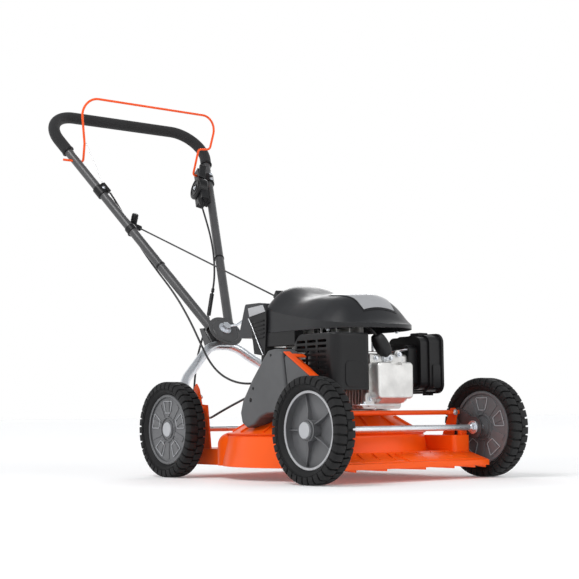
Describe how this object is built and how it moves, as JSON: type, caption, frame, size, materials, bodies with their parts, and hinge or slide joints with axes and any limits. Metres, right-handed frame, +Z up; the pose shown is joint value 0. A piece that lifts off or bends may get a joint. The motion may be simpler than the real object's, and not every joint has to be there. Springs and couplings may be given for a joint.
{
  "type": "rotary lawn mower",
  "caption": "Walk-behind petrol mulching mower: moulded deck, engine, four lugged wheels, swivelling V handle with a safety bail, cables and a starter rope.",
  "frame": {"origin": "on the ground under the middle of the whole machine's box", "axes": "+Z up, -Y to the front of the machine, +X to the operator's left"},
  "size_m": [0.5192, 1.2325, 0.9542],
  "materials": {
    "orange_plastic": "semi-gloss moulded",
    "orange_steel": "powder coat",
    "grey_plastic": "fine grain",
    "cast_metal": "as cast",
    "zinc": "zinc plated",
    "black_rubber": "satin",
    "dark_steel": "satin",
    "black_plastic": "fine grain",
    "cover_plastic": "fine grain",
    "tank_plastic": "fine grain",
    "blade_steel": "black",
    "handle_paint": "powder coat",
    "foam": "open grain foam",
    "rope": "braided",
    "cable": "extruded",
    "tyre": "moulded",
    "wheel_plastic": "moulded",
    "cap_plastic": "satin"
  },
  "bodies": {
    "chassis": {"deck": "orange_plastic", "front_comb": "orange_plastic", "deck_brackets": "orange_steel", "drive_side_plate": "orange_steel", "front_rod": "orange_steel", "drive_cover": "grey_plastic", "drive_cover_front": "grey_plastic", "gear_case": "cast_metal", "crankcase": "cast_metal", "cylinder": "cast_metal", "rocker_cover": "cast_metal", "engine_bolts": "zinc", "spark_plug": "zinc", "spark_plug_cap": "black_rubber", "muffler": "dark_steel", "muffler_guard": "black_plastic", "carburettor": "cast_metal", "air_cleaner_case": "black_plastic", "air_cleaner_cover": "black_plastic", "top_cover": "cover_plastic", "brake_housing": "black_plastic", "rope_exit": "black_plastic", "fuel_tank": "tank_plastic", "handle_arch": "zinc", "arch_bracket": "dark_steel", "starter_rope": "rope", "brake_cable": "cable", "drive_cable": "cable"},
    "front_lift": {"front_arms": "dark_steel", "front_axle": "zinc"},
    "rear_lift": {"rear_arms": "dark_steel", "rear_axle": "zinc"},
    "crank": {"crankshaft": "zinc", "flywheel": "cast_metal", "blade_holder": "dark_steel", "blade": "blade_steel", "blade_bolt": "zinc"},
    "fuel_cap": {"fuel_cap": "black_plastic"},
    "handle": {"handle_frame": "handle_paint", "swivel_disc": "handle_paint", "foam_grip": "foam", "control_box": "black_plastic", "cable_clips": "black_plastic", "rope_guide": "black_plastic"},
    "lock_lever": {"lock_lever": "zinc"},
    "bail": {"bail": "orange_steel"},
    "drive_lever": {"drive_lever": "black_plastic"},
    "starter_grip": {"starter_grip": "black_plastic"},
    "wheel_front_left": {"tyre_front_left": "tyre", "hub_front_left": "wheel_plastic", "hub_cap_front_left": "cap_plastic"},
    "wheel_front_right": {"tyre_front_right": "tyre", "hub_front_right": "wheel_plastic", "hub_cap_front_right": "cap_plastic"},
    "wheel_rear_left": {"tyre_rear_left": "tyre", "hub_rear_left": "wheel_plastic", "hub_cap_rear_left": "cap_plastic"},
    "wheel_rear_right": {"tyre_rear_right": "tyre", "hub_rear_right": "wheel_plastic", "hub_cap_rear_right": "cap_plastic"}
  },
  "joints": [
    {"name": "front_height", "type": "hinge", "parent": "chassis", "child": "front_lift", "pos_m": [0, -0.46639, 0.137], "axis": [1, 0, 0], "range_deg": [-18, 0]},
    {"name": "rear_height", "type": "hinge", "parent": "chassis", "child": "rear_lift", "pos_m": [0, -0.04839, 0.15], "axis": [1, 0, 0], "range_deg": [0, 18]},
    {"name": "crank_spin", "type": "hinge", "parent": "chassis", "child": "crank", "pos_m": [0, -0.26139, 0.18], "axis": [0, 0, 1], "continuous": true},
    {"name": "fuel_cap_turn", "type": "hinge", "parent": "chassis", "child": "fuel_cap", "pos_m": [0.04, -0.04839, 0.346], "axis": [0, 1, 0], "range_deg": [0, 120]},
    {"name": "handle_swivel", "type": "hinge", "parent": "chassis", "child": "handle", "pos_m": [0, 0.13181, 0.3346], "axis": [0, -0.7846, 0.6201], "range_deg": [-18, 18], "deforming": ["starter_rope", "brake_cable", "drive_cable"]},
    {"name": "lock_lever_turn", "type": "hinge", "parent": "handle", "child": "lock_lever", "pos_m": [0, 0.13181, 0.3346], "axis": [0, -0.7846, 0.6201], "range_deg": [0, 80]},
    {"name": "bail_squeeze", "type": "hinge", "parent": "handle", "child": "bail", "pos_m": [0, 0.49144, 0.78965], "axis": [1, 0, 0], "range_deg": [-45, 0], "stiffness_Nm_per_rad": 2, "springref_deg": 20.05},
    {"name": "drive_lever_press", "type": "hinge", "parent": "handle", "child": "drive_lever", "pos_m": [0.16176, 0.46589, 0.7799], "axis": [-0.9543, 0.1852, 0.2344], "range_deg": [0, 12], "stiffness_Nm_per_rad": 1.2, "springref_deg": -5.73},
    {"name": "starter_pull", "type": "slide", "parent": "handle", "child": "starter_grip", "axis": [-0.1143, 0.9145, 0.3881], "range_m": [0, 0.45], "stiffness_N_per_m": 10, "springref_m": -0.3},
    {"name": "front_left_spin", "type": "hinge", "parent": "front_lift", "child": "wheel_front_left", "pos_m": [0.2369, -0.51119, 0.105], "axis": [1, 0, 0], "continuous": true},
    {"name": "front_right_spin", "type": "hinge", "parent": "front_lift", "child": "wheel_front_right", "pos_m": [-0.2369, -0.51119, 0.105], "axis": [1, 0, 0], "continuous": true},
    {"name": "rear_left_spin", "type": "hinge", "parent": "rear_lift", "child": "wheel_rear_left", "pos_m": [0.2369, -0.01159, 0.105], "axis": [1, 0, 0], "continuous": true},
    {"name": "rear_right_spin", "type": "hinge", "parent": "rear_lift", "child": "wheel_rear_right", "pos_m": [-0.2369, -0.01159, 0.105], "axis": [1, 0, 0], "continuous": true}
  ]
}
